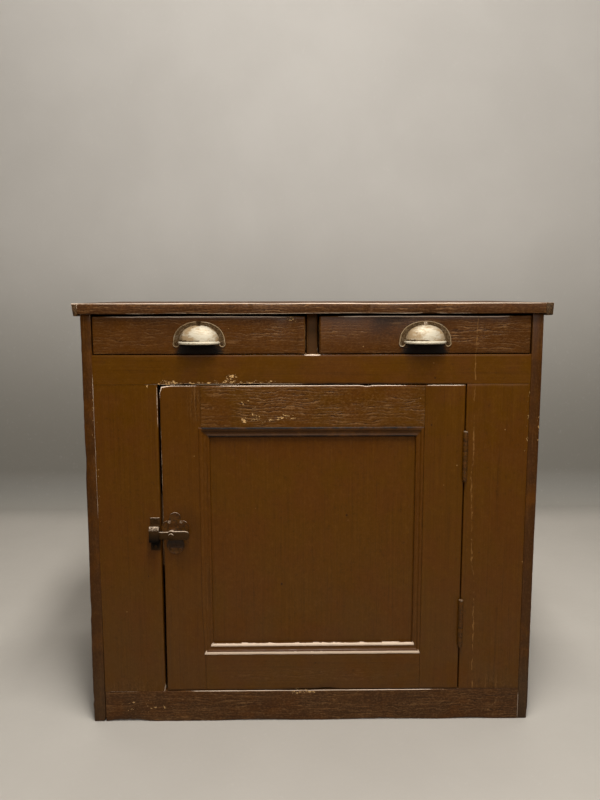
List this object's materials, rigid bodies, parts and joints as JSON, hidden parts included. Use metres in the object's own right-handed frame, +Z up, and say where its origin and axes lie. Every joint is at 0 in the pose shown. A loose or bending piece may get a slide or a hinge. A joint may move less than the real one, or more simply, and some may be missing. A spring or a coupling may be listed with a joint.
{
  "type": "jelly cupboard",
  "caption": "Low free-standing jelly cupboard with shallow drawers under the top, cup pulls, and a framed and panelled door on butt hinges with a lift latch.",
  "frame": {"origin": "on the floor, at the middle of the bounding box", "axes": "+X to the right as seen from the front, the door and drawers face -Y, +Z up"},
  "size_m": [0.944, 0.488, 0.877],
  "materials": {
    "painted_wood": "aged satin brown paint over pine",
    "bare_wood": "bare aged pine",
    "hinge_iron": "iron, painted over in brown, worn at the pin heads",
    "latch_iron": "dark cast iron with worn paint",
    "pull_metal": "worn nickel plate over brass",
    "fastener_steel": "dulled steel"
  },
  "bodies": {
    "case": {"side_left": "painted_wood", "side_right": "painted_wood", "top_board_front": "painted_wood", "top_board_middle": "painted_wood", "top_board_back": "painted_wood", "top_batten_left": "painted_wood", "top_batten_right": "painted_wood", "drawer_rail": "painted_wood", "front_stile_left": "painted_wood", "front_stile_right": "painted_wood", "base_rail": "painted_wood", "drawer_partition": "painted_wood", "top_back_rail": "bare_wood", "runner_left": "bare_wood", "runner_centre": "bare_wood", "runner_right": "bare_wood", "floor_boards": "bare_wood", "floor_bearers": "bare_wood", "shelf": "bare_wood", "shelf_bearers": "bare_wood", "back_boards": "bare_wood", "door_stop": "bare_wood", "drawer_stops": "bare_wood", "hinge_upper_case_leaf": "hinge_iron", "hinge_lower_case_leaf": "hinge_iron", "hinge_pins": "hinge_iron", "latch_keeper": "latch_iron", "batten_nails": "fastener_steel", "keeper_screws": "fastener_steel", "hinge_case_screws": "fastener_steel"},
    "door": {"door_stile_latch": "painted_wood", "door_stile_hinge": "painted_wood", "door_rail_top": "painted_wood", "door_rail_bottom": "painted_wood", "door_panel": "painted_wood", "door_moulding_top": "painted_wood", "door_moulding_bottom": "painted_wood", "door_moulding_left": "painted_wood", "door_moulding_right": "painted_wood", "hinge_upper_door_leaf": "hinge_iron", "hinge_lower_door_leaf": "hinge_iron", "latch_plate": "latch_iron", "latch_pivot": "latch_iron", "latch_plate_screws": "fastener_steel", "hinge_door_screws": "fastener_steel"},
    "lever": {"latch_lever": "latch_iron"},
    "drawer_left": {"drawer_left_front": "painted_wood", "drawer_left_side_left": "bare_wood", "drawer_left_side_right": "bare_wood", "drawer_left_back": "bare_wood", "drawer_left_bottom": "bare_wood", "drawer_left_pull": "pull_metal", "drawer_left_pull_screws": "fastener_steel"},
    "drawer_right": {"drawer_right_front": "painted_wood", "drawer_right_side_left": "bare_wood", "drawer_right_side_right": "bare_wood", "drawer_right_back": "bare_wood", "drawer_right_bottom": "bare_wood", "drawer_right_pull": "pull_metal", "drawer_right_pull_screws": "fastener_steel"}
  },
  "joints": [
    {"name": "door_hinge", "type": "hinge", "parent": "case", "child": "door", "pos_m": [0.30738, -0.2213, 0.393], "axis": [0, 0, 1], "range_deg": [0, 165]},
    {"name": "latch_lift", "type": "hinge", "parent": "door", "child": "lever", "pos_m": [-0.286, -0.22835, 0.4105], "axis": [0, 1, 0], "range_deg": [0, 75]},
    {"name": "drawer_left_slide", "type": "slide", "parent": "case", "child": "drawer_left", "axis": [0, -1, 0], "range_m": [0, 0.3]},
    {"name": "drawer_right_slide", "type": "slide", "parent": "case", "child": "drawer_right", "axis": [0, -1, 0], "range_m": [0, 0.3]}
  ]
}
